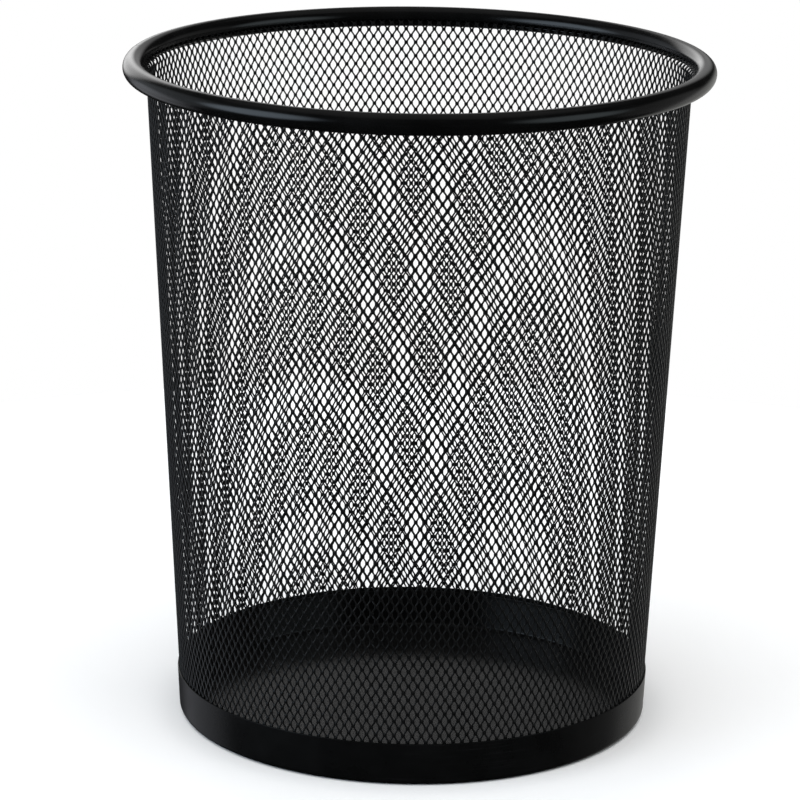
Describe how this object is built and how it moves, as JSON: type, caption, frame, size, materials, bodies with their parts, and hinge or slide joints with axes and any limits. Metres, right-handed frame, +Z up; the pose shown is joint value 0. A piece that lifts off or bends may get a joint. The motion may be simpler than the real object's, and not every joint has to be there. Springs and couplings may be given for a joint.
{
  "type": "wastebasket",
  "caption": "Round tapered wastebasket with an expanded-metal mesh wall, a rolled tube rim and a solid base.",
  "frame": {"origin": "centre of the base ring it stands on, in the plane of the floor", "axes": "+Z up along the basket's axis; -Y is the front; the wall's side seam is at the left, 8 degrees behind -X"},
  "size_m": [0.295, 0.295, 0.3403],
  "materials": {
    "mesh_coat": "satin black powder coat",
    "rim_coat": "semi-gloss black powder coat",
    "base_coat": "satin black powder coat"
  },
  "bodies": {
    "root": {"mesh_wall": "mesh_coat", "seam_welds": "mesh_coat", "rim_tube": "rim_coat", "rim_weld": "rim_coat", "base_band": "base_coat", "base_plate": "base_coat"}
  },
  "joints": []
}
